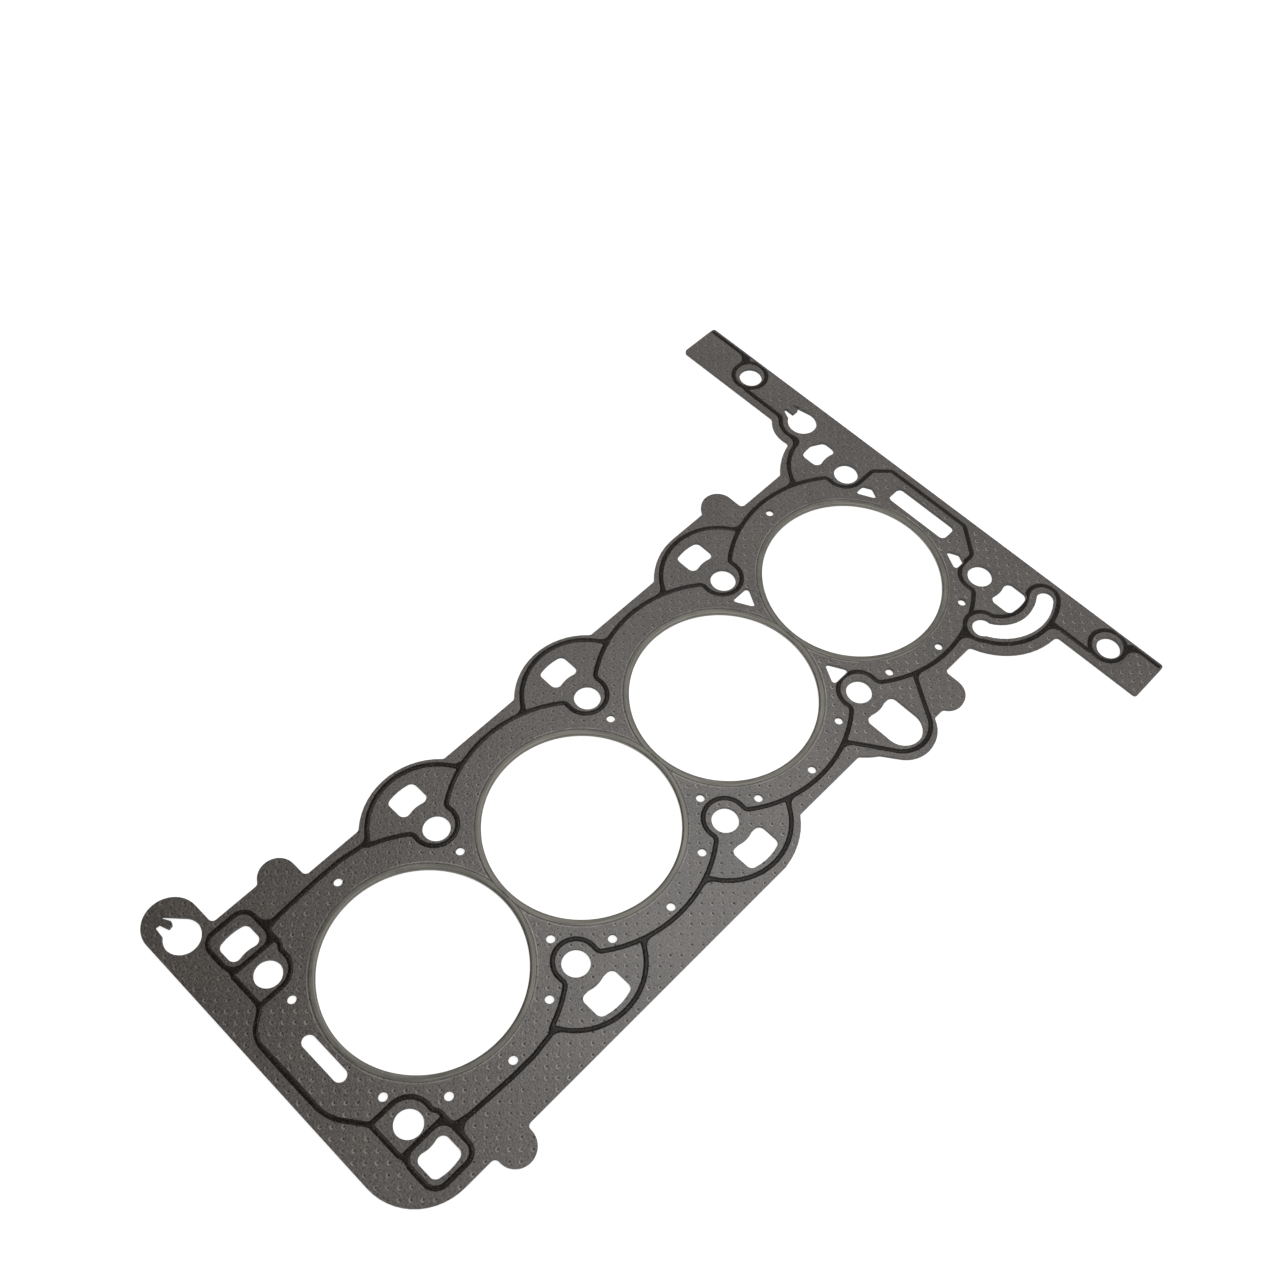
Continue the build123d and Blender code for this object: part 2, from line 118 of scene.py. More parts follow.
def start_material(name):
    """A new material without nodes, and its node tree."""
    made = bpy.data.materials.new(name)
    made.use_nodes = True
    made.node_tree.nodes.clear()
    return made, made.node_tree


print("mid grey as linear light:", [round(c, 3) for c in linear("808080")])

# %% [markdown]
# The floor is plain white card. A lit white floor comes out light grey, so plain white
# light is added to it only where the camera, a mirror or glass sees it. The object's shadow
# stays, because the card's own lit colour is still under that.

# %% Floor
FLOOR_HALF_M = 6.0
FLOOR_DROP_MM = 0.02
FLOOR_LIFT = 0.74
FLOOR_COLOUR = linear("C9C9C9")
floor_mesh = bpy.data.meshes.new("floor")
corners = [(-FLOOR_HALF_M, -FLOOR_HALF_M, 0), (FLOOR_HALF_M, -FLOOR_HALF_M, 0),
           (FLOOR_HALF_M, FLOOR_HALF_M, 0), (-FLOOR_HALF_M, FLOOR_HALF_M, 0)]
floor_mesh.from_pydata(corners, [], [(0, 1, 2, 3)])
floor = bpy.data.objects.new("floor", floor_mesh)
floor.location.z = -FLOOR_DROP_MM * MM
bpy.context.scene.collection.objects.link(floor)

card, tree = start_material("white_card")
path = add(tree, "LightPath")
seen = add(tree, "Math", {0: path.outputs["Is Camera Ray"], 1: path.outputs["Is Glossy Ray"]},
           operation="MAXIMUM")
seen = add(tree, "Math", {0: seen.outputs[0], 1: path.outputs["Is Transmission Ray"]},
           operation="MAXIMUM")
lift = add(tree, "Math", {0: seen.outputs[0], 1: FLOOR_LIFT}, operation="MULTIPLY")
diffuse = add(tree, "BsdfDiffuse", {"Color": FLOOR_COLOUR})
glow = add(tree, "Emission", {"Color": (1, 1, 1, 1), "Strength": lift.outputs[0]})
both = add(tree, "AddShader", {0: diffuse.outputs[0], 1: glow.outputs[0]})
add(tree, "OutputMaterial", {"Surface": both.outputs[0]})
floor_mesh.materials.append(card)
print("floor", 2 * FLOOR_HALF_M, "m wide, lifted by", FLOOR_LIFT)

# %% [markdown]
# The light is that of a small studio. A flat gasket mirrors the part of the room that is
# over it, so the room decides where it looks lighter. The room is pale all round, but for
# one black card that hangs over the far side. It is why one end of the gasket is darker,
# and why each bead has a black flank. One soft lamp gives the sheen in the lower middle.

# %% Room
ROOM_PALE = 0.77
ROOM_WALLS = 0.95
CARD_DARK = 0.02
CARD_WAY = (-0.25, 0.62, 0.743)
CARD_INNER_DEG = 20.0
CARD_OUTER_DEG = 40.0
# How steeply a ray climbs, as the Z of its direction, where the walls fade and are gone
WALLS_FADE_Z = 0.15
WALLS_GONE_Z = 0.5
world = bpy.data.worlds.new("room")
bpy.context.scene.world = world
world.use_nodes = True
tree = world.node_tree
tree.nodes.clear()
where = add(tree, "TexCoord")
near_card = add(tree, "VectorMath", {0: where.outputs["Generated"], 1: CARD_WAY},
                operation="DOT_PRODUCT")
overhead = add(tree, "MapRange", {"Value": near_card.outputs["Value"],
                                  "From Min": math.cos(math.radians(CARD_OUTER_DEG)),
                                  "From Max": math.cos(math.radians(CARD_INNER_DEG)),
                                  "To Min": ROOM_PALE, "To Max": CARD_DARK},
               interpolation_type="SMOOTHSTEP")
up = add(tree, "SeparateXYZ", {0: where.outputs["Generated"]})
low = add(tree, "MapRange", {"Value": up.outputs["Z"], "From Min": WALLS_FADE_Z,
                             "From Max": WALLS_GONE_Z, "To Min": 1.0, "To Max": 0.0},
          interpolation_type="SMOOTHSTEP")
level = add(tree, "Mix", {0: low.outputs["Result"], 2: overhead.outputs["Result"],
                          3: ROOM_WALLS}, data_type="FLOAT")
room = add(tree, "Background", {"Color": (1, 1, 1, 1), "Strength": level.outputs[0]})
add(tree, "OutputWorld", {"Surface": room.outputs[0]})
print("room", ROOM_PALE, "with a card of", CARD_DARK)

# %% Lamp
LAMP_MM = (250.0, 95.0, 1000.0)
LAMP_SIZE_MM = 420.0
LAMP_WATTS = 2.1
lamp_data = bpy.data.lights.new("soft_lamp", "AREA")
lamp_data.shape = "DISK"
lamp_data.size = LAMP_SIZE_MM * MM
lamp_data.energy = LAMP_WATTS
lamp = bpy.data.objects.new("soft_lamp", lamp_data)
lamp.location = [value * MM for value in LAMP_MM]
bpy.context.scene.collection.objects.link(lamp)
print("lamp", LAMP_WATTS, "W at", LAMP_MM, "mm")

# %% [markdown]
# The steel core is punched all over with small hooks that grip the facings. Where a hook
# ends under the facing it lifts a low crescent, about a millimetre across, with a pit at
# its open side. The hooks stand in a square grid turned by 45 degrees. Each crescent is real
# relief here, because light caught on its rim is what the eye sees, and bump alone would be
# lost in the solid copy. A ray is cast at the middle and rim of every place of the grid, and
# a crescent is made only where the facing is bare there: not at a hole, ring or bead.

# %% Places of the hooks
HOOK_STEP_MM = 3.05
HOOK_ROOM_MM = 1.1
HOOK_RIM_POINTS = 6
RAY_FROM_MM = 10.0
LEVEL_WITHIN_MM = 0.005
sheet_low, sheet_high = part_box("gasket_sheet")


def surface_over(names):
    """A search tree over the faces of some solids."""
    shape = bmesh.new()
    for name in names:
        shape.from_mesh(nodes[name].data)
    found = BVHTree.FromBMesh(shape)
    shape.free()
    return found


solids = surface_over(sorted(nodes))


def bare_facing(x, y, side):
    """True where the outermost surface at x, y in millimetres is the facing itself."""
    level = sheet_high.z if side > 0 else sheet_low.z
    start = Vector((x * MM, y * MM, level + side * RAY_FROM_MM * MM))
    point = solids.ray_cast(start, Vector((0, 0, -side)))[0]
    return point is not None and abs(point.z - level) < LEVEL_WITHIN_MM * MM


def whole_steps(low, high):
    """The whole steps of the grid between two lengths in metres."""
    return range(int(low / MM / HOOK_STEP_MM), int(high / MM / HOOK_STEP_MM) + 1)


def hook_places(side):
    """Grid places whose middle and rim all lie on bare facing."""
    angles = [math.tau * i / HOOK_RIM_POINTS for i in range(HOOK_RIM_POINTS)]
    rim = [(HOOK_ROOM_MM * math.cos(angle), HOOK_ROOM_MM * math.sin(angle)) for angle in angles]
    found = []
    for column in whole_steps(sheet_low.x, sheet_high.x):
        for row in whole_steps(sheet_low.y, sheet_high.y):
            x, y = column * HOOK_STEP_MM, row * HOOK_STEP_MM
            if (column + row) % 2 == 0 and all(bare_facing(x + dx, y + dy, side)
                                               for dx, dy in [(0, 0)] + rim):
                found.append((x, y))
    return found


places = {1: hook_places(1), -1: hook_places(-1)}
print("hooks on the head side:", len(places[1]), "on the deck side:", len(places[-1]))

# %% Crescents over the hooks
CRESCENT_TURNS = 8
CRESCENT_SPAN_DEG = 250
CRESCENT_MIDDLE_DEG = 165
CRESCENT_SECTION_MM = ((1.00, 0.0), (0.74, 1.0), (0.46, 0.0))
CRESCENT_HEIGHT_MM = 0.07
CRESCENT_LUCK = (0.5, 1.0)
SEED = 7


def crescent(shape, x, y, side, height):
    """One low curved ridge that tapers to both ends and opens towards +X."""
    level = (sheet_high.z if side > 0 else sheet_low.z) / MM
    rows = []
    for step in range(CRESCENT_TURNS + 1):
        share = step / CRESCENT_TURNS
        angle = math.radians(CRESCENT_MIDDLE_DEG + CRESCENT_SPAN_DEG * (share - 0.5))
        taper = math.sin(math.pi * share) ** 0.5 if 0 < share < 1 else 0.0
        rows.append([shape.verts.new(((x + radius * math.cos(angle)) * MM,
                                      (y + radius * math.sin(angle)) * MM,
                                      (level + side * height * lift * taper) * MM))
                     for radius, lift in CRESCENT_SECTION_MM])
    for before, after in zip(rows, rows[1:]):
        for i in range(len(CRESCENT_SECTION_MM) - 1):
            corners = (before[i], after[i], after[i + 1], before[i + 1])
            shape.faces.new(corners if side > 0 else corners[::-1]).smooth = True


hook_marks = {}
for side, name in ((1, "hook_marks_head_side"), (-1, "hook_marks_deck_side")):
    luck = random.Random(SEED)
    shape = bmesh.new()
    for x, y in places[side]:
        crescent(shape, x, y, side, CRESCENT_HEIGHT_MM * luck.uniform(*CRESCENT_LUCK))
    mesh = bpy.data.meshes.new(name)
    shape.to_mesh(mesh)
    shape.free()
    piece = bpy.data.objects.new(name, mesh)
    bpy.context.scene.collection.objects.link(piece)
    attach(piece, "root")
    hook_marks[name] = piece
    print(name, len(mesh.polygons), "faces")

# %% [markdown]
# The facing is flexible graphite and mineral fibre rolled onto the core. It is a warm grey
# close to black, with cloudy patches where the rolls pressed harder, and graphite flakes
# give it a soft sheen. Over a hook it is thin and shows a little rub, and its paler colour
# there is partly that rub and partly a painted highlight. At a cut edge the layers show:
# facing, a thin line of sheared steel, facing. All of that is one material, because the
# sheet is one piece: faces, crescents and cut edges are told apart by height and by which
# way the surface looks.

# %% Graphite facing: coordinates in millimetres
def place_in_mm(tree):
    """The place on a piece, in millimetres of its own frame."""
    where = add(tree, "TexCoord")
    place = add(tree, "VectorMath", {0: where.outputs["Object"], "Scale": 1 / MM},
                operation="SCALE")
    return place.outputs["Vector"]


facing, tree = start_material("graphite_fibre_facing")
mm = place_in_mm(tree)
split = add(tree, "SeparateXYZ", {0: mm})
print("the facing's patterns are measured in millimetres of the gasket's own frame")

# %% [markdown]
# The pit beside each crescent is drawn by the material, on the same grid, as painted shade
# and a shallow dip in the bump. Adding and subtracting x and y turns the 45 degree grid into
# whole numbers. Rounding gives the nearest hook, and what is left over is the place beside it.

# %% Graphite facing: pits of the hooks, for painted shade and a dip
PIT_RADIUS_MM = 0.52
PIT_AWAY_MM = 0.18
PIT_FLOOR_MM = PIT_RADIUS_MM / 3
PIT_FAINTEST = 0.35
total = add(tree, "Math", {0: split.outputs["X"], 1: split.outputs["Y"]}, operation="ADD")
apart = add(tree, "Math", {0: split.outputs["X"], 1: split.outputs["Y"]}, operation="SUBTRACT")
row_a = add(tree, "Math", {0: total.outputs[0], 1: 0.5 / HOOK_STEP_MM}, operation="MULTIPLY")
row_b = add(tree, "Math", {0: apart.outputs[0], 1: 0.5 / HOOK_STEP_MM}, operation="MULTIPLY")
near_a = add(tree, "Math", {0: row_a.outputs[0]}, operation="ROUND")
near_b = add(tree, "Math", {0: row_b.outputs[0]}, operation="ROUND")
left_a = add(tree, "Math", {0: row_a.outputs[0], 1: near_a.outputs[0]}, operation="SUBTRACT")
left_b = add(tree, "Math", {0: row_b.outputs[0], 1: near_b.outputs[0]}, operation="SUBTRACT")
beside_x = add(tree, "Math", {0: left_a.outputs[0], 1: left_b.outputs[0]}, operation="ADD")
beside_y = add(tree, "Math", {0: left_a.outputs[0], 1: left_b.outputs[0]}, operation="SUBTRACT")
beside = add(tree, "CombineXYZ", {0: beside_x.outputs[0], 1: beside_y.outputs[0]})
beside_mm = add(tree, "VectorMath", {0: beside.outputs[0], "Scale": HOOK_STEP_MM},
                operation="SCALE")
from_pit = add(tree, "VectorMath", {0: beside_mm.outputs[0], 1: (PIT_AWAY_MM, 0.0, 0.0)},
               operation="DISTANCE")
dark = add(tree, "MapRange", {"Value": from_pit.outputs["Value"], "From Min": PIT_FLOOR_MM,
                              "From Max": PIT_RADIUS_MM, "To Min": 1.0, "To Max": 0.0},
           interpolation_type="SMOOTHSTEP")
hook_name = add(tree, "CombineXYZ", {0: near_a.outputs[0], 1: near_b.outputs[0]})
hook_luck = add(tree, "TexWhiteNoise", {"Vector": hook_name.outputs[0]}, noise_dimensions="2D")
depth = add(tree, "MapRange", {"Value": hook_luck.outputs["Value"], "To Min": PIT_FAINTEST,
                               "To Max": 1.0})
pit = add(tree, "Math", {0: dark.outputs["Result"], 1: depth.outputs["Result"]},
          operation="MULTIPLY")
print("pits", 2 * PIT_RADIUS_MM, "mm across, every", HOOK_STEP_MM, "mm")

# %% [markdown]
# Rolling leaves slow clouds, and the fibres and flakes give a speckle of about half a
# millimetre. The paler crescents show in patches. They are strongest towards -Y and fade
# towards +Y, because that paleness is partly rub and partly a painted highlight that follows
# the sheen. Beside each fire ring a thin painted highlight line lies on the facing. Its place
# is found from the nearest bore: the bores stand at whole steps of the pitch, so rounding
# finds that too.

# %% Graphite facing: clouds, fibres and painted shade of the pits in the colour
FACING_DARK = linear("3C3631")
FACING_LIGHT = linear("49423C")
# Near-black painted shade in the pits of the hooks
PIT_SHADE_COLOUR = linear("0B0A09")
CLOUD_MM = 20.0
FIBRES_PER_MM = 1.1
# Most values of a noise pattern lie between these two
NOISE_LOW = 0.3
NOISE_HIGH = 0.7
SPECK_FROM = (0.36, 0.64)
SPECK_GAIN = (0.35, 1.65)


def times(tree, colour, gain):
    """A colour with its three channels multiplied by one number."""
    grey = add(tree, "CombineColor", {0: gain, 1: gain, 2: gain})
    return add(tree, "Mix", {0: 1.0, 6: colour, 7: grey.outputs[0]}, data_type="RGBA",
               blend_type="MULTIPLY")


cloud = add(tree, "TexNoise", {"Vector": mm, "Scale": 1 / CLOUD_MM, "Detail": 4.0,
                               "Roughness": 0.6})
fibre = add(tree, "TexNoise", {"Vector": mm, "Scale": FIBRES_PER_MM, "Detail": 4.0,
                               "Roughness": 0.75})
tone = add(tree, "MapRange", {"Value": cloud.outputs["Fac"], "From Min": NOISE_LOW,
                              "From Max": NOISE_HIGH})
face_colour = add(tree, "Mix", {0: tone.outputs["Result"], 6: FACING_DARK, 7: FACING_LIGHT},
                  data_type="RGBA")
speck = add(tree, "MapRange", {"Value": fibre.outputs["Fac"], "From Min": SPECK_FROM[0],
                               "From Max": SPECK_FROM[1], "To Min": SPECK_GAIN[0],
                               "To Max": SPECK_GAIN[1]})
face_colour = times(tree, face_colour.outputs[2], speck.outputs["Result"])
# Painted shade darkens the pits
face_colour = add(tree, "Mix", {0: pit.outputs[0], 6: face_colour.outputs[2], 7: PIT_SHADE_COLOUR},
                  data_type="RGBA")
print("facing from", [round(c, 3) for c in FACING_DARK], "to",
      [round(c, 3) for c in FACING_LIGHT])

# %% Graphite facing: pale crescents, partly rub and partly painted highlight
# Pale colour on the raised crescents: partly real rub, partly a painted highlight on their rims
RUB_AND_HIGHLIGHT = linear("A8A29A")
RUB_AND_HIGHLIGHT_FROM_MM = 0.004
RUB_AND_HIGHLIGHT_FULL_MM = 0.75 * CRESCENT_HEIGHT_MM
PATCHES_PER_MM = 0.035
PATCH_FROM = (0.35, 0.65)
PATCH_FAINTEST = 0.5
FADE_Y_MM = (-20.0, 60.0)
FADE_TO = 0.5
SHEET_MM = (sheet_high.z - sheet_low.z) / MM
middle_mm = (sheet_low.z + sheet_high.z) / 2 / MM
from_middle = add(tree, "Math", {0: split.outputs["Z"], 1: middle_mm}, operation="SUBTRACT")
from_middle = add(tree, "Math", {0: from_middle.outputs[0]}, operation="ABSOLUTE")
raised = add(tree, "MapRange", {"Value": from_middle.outputs[0],
                                "From Min": SHEET_MM / 2 + RUB_AND_HIGHLIGHT_FROM_MM,
                                "From Max": SHEET_MM / 2 + RUB_AND_HIGHLIGHT_FULL_MM})
patches = add(tree, "TexNoise", {"Vector": mm, "Scale": PATCHES_PER_MM, "Detail": 2.0})
shown = add(tree, "MapRange", {"Value": patches.outputs["Fac"], "From Min": PATCH_FROM[0],
                               "From Max": PATCH_FROM[1], "To Min": PATCH_FAINTEST,
                               "To Max": 1.0})
# The painted highlight fades from -Y towards +Y, as the sheen does
fade = add(tree, "MapRange", {"Value": split.outputs["Y"], "From Min": FADE_Y_MM[0],
                              "From Max": FADE_Y_MM[1], "To Min": 1.0, "To Max": FADE_TO})
rub_and_highlight = add(tree, "Math", {0: raised.outputs["Result"], 1: shown.outputs["Result"]},
             operation="MULTIPLY")
rub_and_highlight = add(tree, "Math", {0: rub_and_highlight.outputs[0], 1: fade.outputs["Result"]},
             operation="MULTIPLY")
face_colour = add(tree, "Mix", {0: rub_and_highlight.outputs[0], 6: face_colour.outputs[2], 7: RUB_AND_HIGHLIGHT},
                  data_type="RGBA")
print("sheet", round(SHEET_MM, 3), "mm thick, crescents", CRESCENT_HEIGHT_MM, "mm high")

# %% Graphite facing: painted highlight line beside the rings
bores = [mount for mount in frame["record"]["mounts"]
         if mount["name"].startswith("cylinder_bore")]
PITCH_MM = (bores[1]["pos_m"][0] - bores[0]["pos_m"][0]) / MM
FLANGE_MM = (bores[0]["pos_m"][0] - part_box("fire_ring_1")[0].x) / MM
# A thin painted highlight line on the facing, just outside each ring's flange
LINE_AWAY_MM = 0.6
LINE_HALF_MM = 0.3
LINE_STRENGTH = 0.6
LINE_BREAKS = (0.4, 0.6)
LINE_FAINTEST = 0.2
steps = add(tree, "Math", {0: split.outputs["X"], 1: 1 / PITCH_MM}, operation="MULTIPLY")
number = add(tree, "Math", {0: steps.outputs[0]}, operation="FLOOR")
number = add(tree, "Clamp", {"Value": number.outputs[0], "Min": -len(bores) / 2,
                             "Max": len(bores) / 2 - 1})
centre = add(tree, "Math", {0: number.outputs[0], 1: 0.5}, operation="ADD")
centre = add(tree, "Math", {0: centre.outputs[0], 1: PITCH_MM}, operation="MULTIPLY")
centre = add(tree, "CombineXYZ", {0: centre.outputs[0]})
flat = add(tree, "VectorMath", {0: mm, 1: (1.0, 1.0, 0.0)}, operation="MULTIPLY")
away = add(tree, "VectorMath", {0: flat.outputs[0], 1: centre.outputs[0]},
           operation="DISTANCE")
off_line = add(tree, "Math", {0: away.outputs["Value"], 1: FLANGE_MM + LINE_AWAY_MM},
               operation="SUBTRACT")
off_line = add(tree, "Math", {0: off_line.outputs[0]}, operation="ABSOLUTE")
line = add(tree, "MapRange", {"Value": off_line.outputs[0], "To Min": LINE_STRENGTH,
                              "To Max": 0.0, "From Max": LINE_HALF_MM},
           interpolation_type="SMOOTHSTEP")
broken = add(tree, "MapRange", {"Value": cloud.outputs["Fac"], "From Min": LINE_BREAKS[0],
                                "From Max": LINE_BREAKS[1], "To Min": LINE_FAINTEST,
                                "To Max": 1.0})
line = add(tree, "Math", {0: line.outputs["Result"], 1: broken.outputs["Result"]},
           operation="MULTIPLY")
face_colour = add(tree, "Mix", {0: line.outputs[0], 6: face_colour.outputs[2], 7: RUB_AND_HIGHLIGHT},
                  data_type="RGBA")
print("bore pitch", round(PITCH_MM, 2), "mm, flange to", round(FLANGE_MM, 2), "mm")

# %% [markdown]
# A die cuts the sheet, so its edge is torn more than cut: dark, dull and a little ragged,
# with the steel core as a thin broken line in the middle. The surface's own direction, its
# normal, tells the edges from the faces, and height tells the core from the facings.

# %% Graphite facing: layers at the cut edge
CORE_MM = 0.30
CORE_BLUR_MM = 0.04
CORE_STEEL = linear("6F6C66")
CUT_DARK = linear("242220")
CUT_LIGHT = linear("373431")
EDGE_RAG_MM = 0.10
# Upward share of the normal: under the first it is an edge, over the second a face
EDGE_TILT = (0.4, 0.6)
rag = add(tree, "TexNoise", {"Vector": mm, "Scale": FIBRES_PER_MM, "Detail": 3.0})
rag_mm = add(tree, "MapRange", {"Value": rag.outputs["Fac"], "To Min": -EDGE_RAG_MM,
                                "To Max": EDGE_RAG_MM})
from_core = add(tree, "Math", {0: from_middle.outputs[0], 1: rag_mm.outputs["Result"]},
                operation="ADD")
core = add(tree, "MapRange", {"Value": from_core.outputs[0],
                              "From Min": CORE_MM / 2 - CORE_BLUR_MM,
                              "From Max": CORE_MM / 2 + CORE_BLUR_MM,
                              "To Min": 1.0, "To Max": 0.0})
surface = add(tree, "NewGeometry")
facing_way = add(tree, "SeparateXYZ", {0: surface.outputs["True Normal"]})
upward = add(tree, "Math", {0: facing_way.outputs["Z"]}, operation="ABSOLUTE")
edge = add(tree, "MapRange", {"Value": upward.outputs[0], "From Min": EDGE_TILT[0],
                              "From Max": EDGE_TILT[1], "To Min": 1.0, "To Max": 0.0})
cut_tone = add(tree, "MapRange", {"Value": fibre.outputs["Fac"], "From Min": NOISE_LOW,
                                  "From Max": NOISE_HIGH})
cut_colour = add(tree, "Mix", {0: cut_tone.outputs["Result"], 6: CUT_DARK, 7: CUT_LIGHT},
                 data_type="RGBA")
edge_colour = add(tree, "Mix", {0: core.outputs["Result"], 6: cut_colour.outputs[2],
                                7: CORE_STEEL}, data_type="RGBA")
colour = add(tree, "Mix", {0: edge.outputs["Result"], 6: face_colour.outputs[2],
                           7: edge_colour.outputs[2]}, data_type="RGBA")
steel_part = add(tree, "Math", {0: core.outputs["Result"], 1: edge.outputs["Result"]},
                 operation="MULTIPLY")
print("core", CORE_MM, "mm thick")

# %% [markdown]
# Pores between the flakes, and the pits of the hooks, get painted shade: they lose the sheen
# as well as the colour. A metal shader has no sheen but its own colour, so a black metal is
# blacker than any black paint, and the same Metallic input that makes the core steel can
# take the sheen off the pores and pits.

# %% Graphite facing: painted shade in pores and pits, without sheen
# How much painted shade takes the colour and sheen off the pores and the pits
PORE_SHADE_SHARE = 0.32
PIT_SHADE_SHARE = 0.5
PORE_FROM = (0.34, 0.50)
pore = add(tree, "MapRange", {"Value": fibre.outputs["Fac"], "From Min": PORE_FROM[0],
                              "From Max": PORE_FROM[1], "To Min": PORE_SHADE_SHARE, "To Max": 0.0})
pit_shade = add(tree, "Math", {0: pit.outputs[0], 1: PIT_SHADE_SHARE}, operation="MULTIPLY")
hollow_shade = add(tree, "Math", {0: pore.outputs["Result"], 1: pit_shade.outputs[0]},
              operation="MAXIMUM")
on_faces = add(tree, "Math", {0: 1.0, 1: edge.outputs["Result"]}, operation="SUBTRACT")
hollow_shade = add(tree, "Math", {0: hollow_shade.outputs[0], 1: on_faces.outputs[0]},
              operation="MULTIPLY")
without_rub_and_highlight = add(tree, "Math", {0: 1.0, 1: rub_and_highlight.outputs[0]}, operation="SUBTRACT")
hollow_shade = add(tree, "Math", {0: hollow_shade.outputs[0], 1: without_rub_and_highlight.outputs[0]},
              operation="MULTIPLY")
# Steel of the core, and painted shade of the pores and pits, through Metallic
no_gloss = add(tree, "Math", {0: hollow_shade.outputs[0], 1: steel_part.outputs[0]},
               operation="MAXIMUM")
print("pores take up to", PORE_SHADE_SHARE, "of the sheen, pits up to", PIT_SHADE_SHARE)

# %% Graphite facing: gloss, relief and output
GRAPHITE_IOR = 1.8
FACE_ROUGH_FROM = (0.25, 0.75)
FACE_ROUGH = (0.30, 0.40)
EDGE_ROUGH = 0.7
GRAINS_PER_MM = 1.4
GRAIN_GAIN = 1.6
RELIEF_MM = 0.10
RELIEF_STRENGTH = 0.8
rough_face = add(tree, "MapRange", {"Value": fibre.outputs["Fac"],
                                    "From Min": FACE_ROUGH_FROM[0],
                                    "From Max": FACE_ROUGH_FROM[1],
                                    "To Min": FACE_ROUGH[0], "To Max": FACE_ROUGH[1]})
rough = add(tree, "Mix", {0: edge.outputs["Result"], 2: rough_face.outputs["Result"],
                          3: EDGE_ROUGH}, data_type="FLOAT")
grain = add(tree, "TexNoise", {"Vector": mm, "Scale": GRAINS_PER_MM, "Detail": 3.0,
                               "Roughness": 0.6})
grain_up = add(tree, "Math", {0: grain.outputs["Fac"], 1: GRAIN_GAIN}, operation="MULTIPLY")
relief = add(tree, "Math", {0: grain_up.outputs[0], 1: pit.outputs[0]}, operation="SUBTRACT")
bump = add(tree, "Bump", {"Height": relief.outputs[0], "Strength": RELIEF_STRENGTH,
                          "Distance": RELIEF_MM * MM})
finish = add(tree, "BsdfPrincipled", {"Base Color": colour.outputs[2],
                                      "Metallic": no_gloss.outputs[0],
                                      "Roughness": rough.outputs[0], "IOR": GRAPHITE_IOR,
                                      "Normal": bump.outputs["Normal"]})
add(tree, "OutputMaterial", {"Surface": finish.outputs[0]})
nodes["gasket_sheet"].data.materials.clear()
nodes["gasket_sheet"].data.materials.append(facing)
for piece in hook_marks.values():
    piece.data.materials.append(facing)
print("facing material has", len(tree.nodes), "nodes")

# %% [markdown]
# The bead is silicone, screen-printed on the facing and cured. It is nearly black, and its
# section is a low dome, because the paste drew itself round before it set: that is why its
# two edges look darker than its middle. The solid model gives it as a flat strip of the
# right outline. Only the strip's outer face is kept here. It gets a thin wall, then it is
# inset twice, and each step is raised a little. Insetting keeps every junction of the
# network, which a swept tube would not.
# On its long run at the left end the printed bead turns in two soft bends, where the strip
# has tighter ones. There the strip's outline is cut into short lengths, and each point
# is moved towards the inside of the bend, by the gap between the tight arc and a wide one.
# Between the bends the print is also a little wider than the strip.

# %% Bead: the two bends of the left run
RUN_X_MM = -191.40
# Corner of the centreline, ways of its two legs, radius of the strip, radius of the print
BENDS_MM = (((RUN_X_MM, 24.43), (0.0, -1.0), (0.824, 0.566), 2.5, 8.0),
            ((RUN_X_MM, -17.50), (0.0, 1.0), (0.584, -0.812), 3.04, 18.0))
print("bends widened to", [bend[-1] for bend in BENDS_MM], "mm")

# %% Bead: an outline with enough points to bend
BEND_STEP_MM = 0.6
BEND_NEAR_MM = 3.0
RUN_END_X_MM = -182.5
RUN_LOW_Y_MM = -30.5
RUN_HIGH_Y_MM = 34.0


def cut_outline(shape):
    """Cuts the long edges of the outline beside each bend, and joins the faces of the run."""
    for corner in [bend[0] for bend in BENDS_MM]:
        middle = Vector(corner) * MM
        long_edges = [edge for edge in shape.edges
                      if edge.calc_length() > BEND_NEAR_MM * MM
                      and min((vert.co.xy - middle).length for vert in edge.verts)
                      < BEND_NEAR_MM * MM and edge.is_boundary]
        for edge in long_edges:
            bmesh.ops.subdivide_edges(shape, edges=[edge],
                                      cuts=int(edge.calc_length() / (BEND_STEP_MM * MM)))
        print("bend at", corner, "mm: cut", len(long_edges), "edges")
    # Joined into one face, so that no thin triangle folds over in the bends
    run = [face for face in shape.faces
           if all(vert.co.x < RUN_END_X_MM * MM
                  and RUN_LOW_Y_MM * MM < vert.co.y < RUN_HIGH_Y_MM * MM
                  for vert in face.verts)]
    joined = bmesh.ops.dissolve_faces(shape, faces=run, use_verts=False)["region"]
    print("joined", len(run), "faces of the run into", len(joined))


print("the outline beside a bend is cut every", BEND_STEP_MM, "mm")

# %% Bead: a wider run with softer bends
BEAD_HALF_MM = 1.05
RUN_BESIDE_MM = 1.5 * BEAD_HALF_MM
RUN_Y_MM = (-16.0, 22.5)
RUN_SWELL_MM = 0.2


def swell_run(shape):
    """Makes the straight run between the bends a little wider in its middle."""
    for vert in shape.verts:
        share = (vert.co.y / MM - RUN_Y_MM[0]) / (RUN_Y_MM[1] - RUN_Y_MM[0])
        beside = vert.co.x / MM - RUN_X_MM
        if 0 < share < 1 and abs(beside) < RUN_BESIDE_MM:
            swell = RUN_SWELL_MM * math.sin(math.pi * share) ** 2
            vert.co.x += math.copysign(swell, beside) * MM


